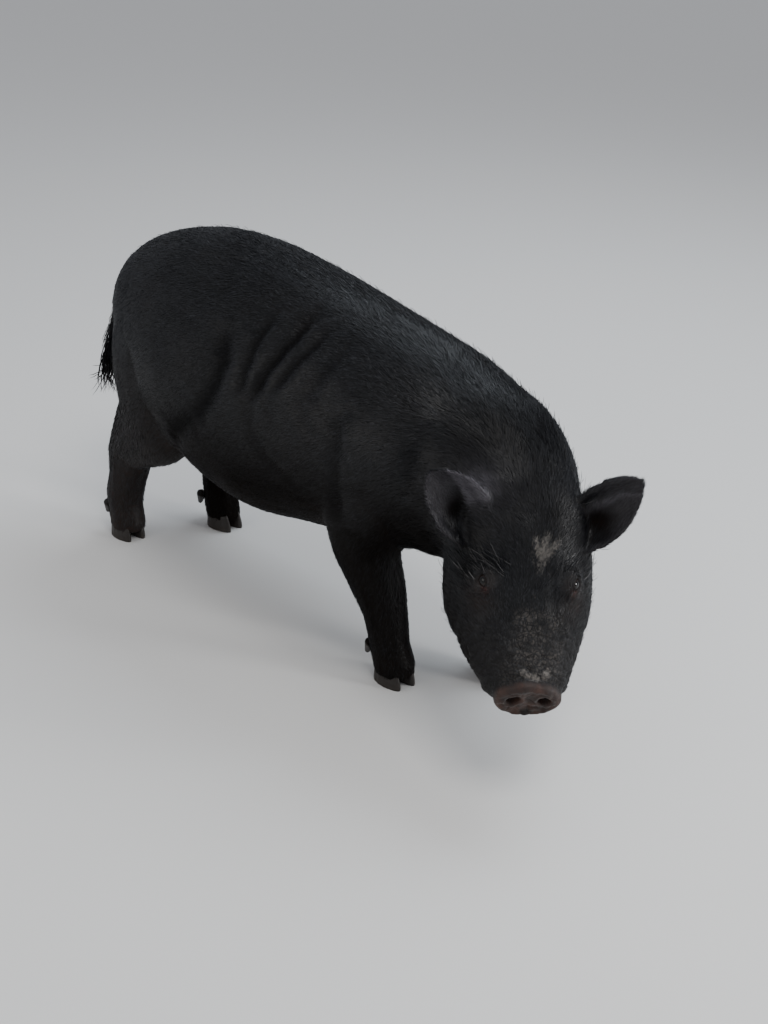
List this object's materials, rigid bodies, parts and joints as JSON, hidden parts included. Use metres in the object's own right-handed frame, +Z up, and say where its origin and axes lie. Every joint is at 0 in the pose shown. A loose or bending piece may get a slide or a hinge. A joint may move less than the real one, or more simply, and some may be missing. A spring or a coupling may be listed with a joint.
{
  "type": "pot bellied pig",
  "caption": "Life-size still model of a young black pot bellied pig, standing with its head lowered and turned to its right.",
  "frame": {"origin": "middle of the underside of the pig's box, on the floor", "axes": "+X the way the pig stands, +Y its left side, +Z up"},
  "size_m": [0.7632, 0.2362, 0.3862],
  "materials": {
    "coat": "black bristly coat over brownish black skin, slight blue sheen",
    "snout": "bare dark brown skin, moist, with dried dust on its upper rim",
    "eye": "dark brown, wet gloss",
    "claw": "black horn, scuffed"
  },
  "bodies": {
    "root": {"torso": "coat", "neck": "coat", "head": "coat", "ear_left": "coat", "ear_right": "coat", "tail": "coat", "leg_front_left": "coat", "leg_front_right": "coat", "leg_hind_left": "coat", "leg_hind_right": "coat", "snout": "snout", "eye_left": "eye", "eye_right": "eye", "claw_front_left_left": "claw", "claw_front_left_right": "claw", "claw_front_right_left": "claw", "claw_front_right_right": "claw", "claw_hind_left_left": "claw", "claw_hind_left_right": "claw", "claw_hind_right_left": "claw", "claw_hind_right_right": "claw", "dewclaw_front_left_left": "claw", "dewclaw_front_left_right": "claw", "dewclaw_front_right_left": "claw", "dewclaw_front_right_right": "claw", "dewclaw_hind_left_left": "claw", "dewclaw_hind_left_right": "claw", "dewclaw_hind_right_left": "claw", "dewclaw_hind_right_right": "claw"}
  },
  "joints": []
}
